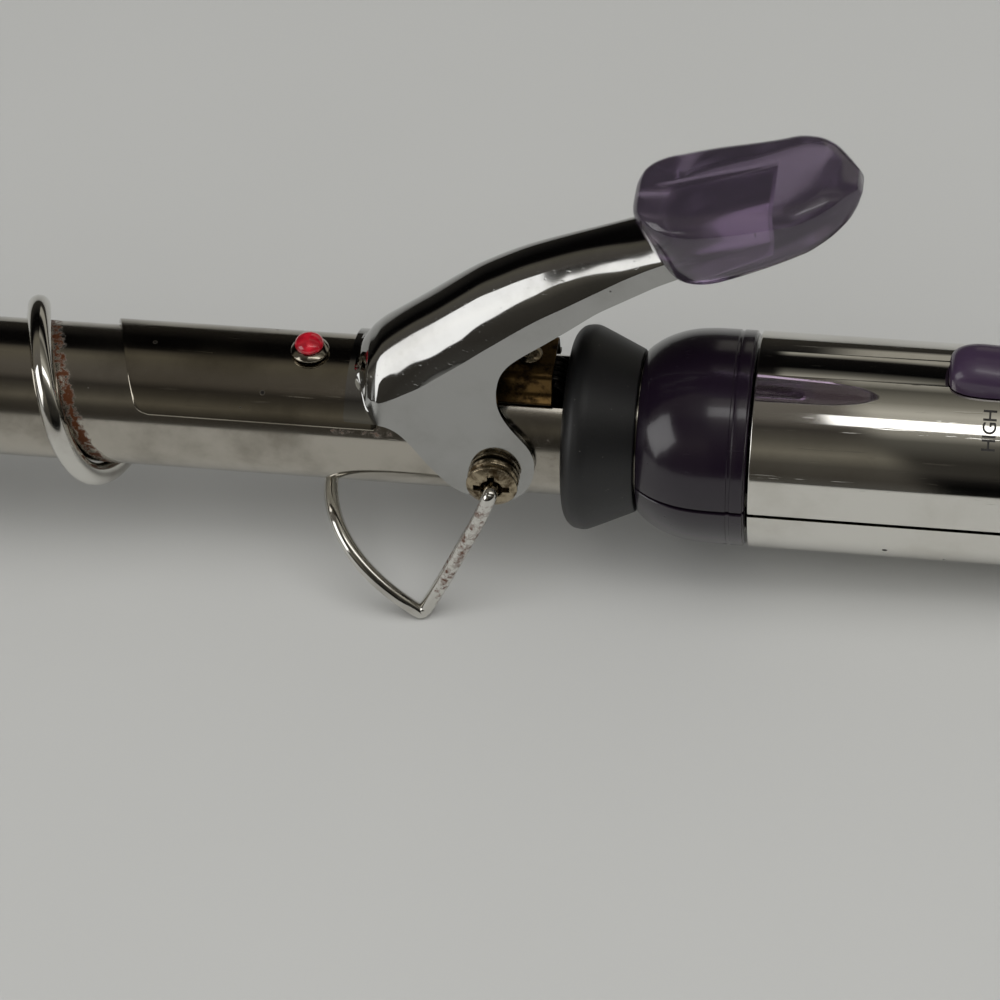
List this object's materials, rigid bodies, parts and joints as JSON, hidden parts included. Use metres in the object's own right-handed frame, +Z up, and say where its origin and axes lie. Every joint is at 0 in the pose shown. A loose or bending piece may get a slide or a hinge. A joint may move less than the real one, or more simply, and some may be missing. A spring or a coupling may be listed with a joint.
{
  "type": "curling iron",
  "caption": "Spring-clamp curling iron with a spiral guide wire round its barrel, a thumb lever, a round handle with a slide switch and a fold-out wire stand.",
  "frame": {"origin": "centre of the iron's footprint, on the surface it stands on", "axes": "+Z up, +X towards the handle's rear end (the iron pitches down that way by 3.3 degrees), +Y to the far side of the clamp's pivot"},
  "size_m": [0.3282, 0.034, 0.0688],
  "materials": {
    "barrel_plate": "bright plating, scuffed and tarnished by heat, with rust-brown bands and dark pits",
    "black_plastic": "matte heat-proof moulding with pale scuffs",
    "bracket_metal": "heat-browned strap",
    "ceramic_core": "unglazed",
    "clip_plate": "bright plating with fine hair scratches and dark pits",
    "contact_brass": "bright",
    "dot_red": "domed glossy enamel",
    "lead_sleeving": "varnished glass braid",
    "mica_sheet": "brown mica paper",
    "pivot_metal": "tarnished, nickel-washed",
    "plain_steel": "plain",
    "purple_plastic": "glossy smoky purple moulding, slightly see-through",
    "sleeve_plate": "mirror plating, light scratches",
    "spreader_metal": "extruded",
    "spring_steel": "blackened wire",
    "wire_plate": "bright plating with flaked black and brown spots"
  },
  "bodies": {
    "body": {"barrel_tube": "barrel_plate", "bracket_rivet": "pivot_metal", "brush_live": "contact_brass", "brush_neutral": "contact_brass", "clamp_spring": "spring_steel", "cool_tip": "black_plastic", "front_collar_lower": "purple_plastic", "front_collar_upper": "purple_plastic", "handle_lower": "sleeve_plate", "handle_screw_1": "plain_steel", "handle_screw_2": "plain_steel", "handle_upper": "sleeve_plate", "heat_guard": "black_plastic", "heat_spreader": "spreader_metal", "heater_core": "ceramic_core", "heater_lead_live": "lead_sleeving", "heater_lead_neutral": "lead_sleeving", "lead_bush": "ceramic_core", "low_heat_diode": "black_plastic", "mica_wrap": "mica_sheet", "pivot_nut_far": "plain_steel", "pivot_nut_near": "plain_steel", "pivot_screw_far": "pivot_metal", "pivot_screw_near": "pivot_metal", "pivot_washer_far": "pivot_metal", "pivot_washer_near": "pivot_metal", "rear_cap": "purple_plastic", "spiral_guide": "barrel_plate", "spring_bracket": "bracket_metal", "supply_lead": "lead_sleeving", "switch_housing": "black_plastic", "switch_lead_in": "lead_sleeving", "switch_terminal_1": "contact_brass", "switch_terminal_2": "contact_brass", "switch_terminal_3": "contact_brass", "thermal_fuse": "spreader_metal"},
    "clamp": {"thumb_lever": "clip_plate", "thumb_rest": "purple_plastic", "clip_spoon": "clip_plate", "dot_rivet": "clip_plate", "heat_dot": "dot_red"},
    "stand": {"wire_stand": "wire_plate"},
    "switch": {"switch_knob": "purple_plastic", "switch_carriage": "black_plastic"},
    "swivel": {"swivel_gland": "black_plastic", "slip_ring_1": "contact_brass", "slip_ring_2": "contact_brass"}
  },
  "joints": [
    {"name": "clamp_hinge", "type": "hinge", "parent": "body", "child": "clamp", "pos_m": [0.00002, 0, 0.02275], "axis": [0, 1, 0], "range_deg": [0, 24], "stiffness_Nm_per_rad": 0.25, "springref_deg": -28.65},
    {"name": "stand_hinge", "type": "hinge", "parent": "body", "child": "stand", "pos_m": [0.00002, 0, 0.02275], "axis": [0, 1, 0], "range_deg": [-95, 0]},
    {"name": "switch_slide", "type": "slide", "parent": "body", "child": "switch", "axis": [0.9984, 0, -0.057], "range_m": [0, 0.01]},
    {"name": "cord_swivel", "type": "hinge", "parent": "body", "child": "swivel", "pos_m": [0.13979, 0, 0.01478], "axis": [0.9984, 0, -0.057], "continuous": true}
  ]
}
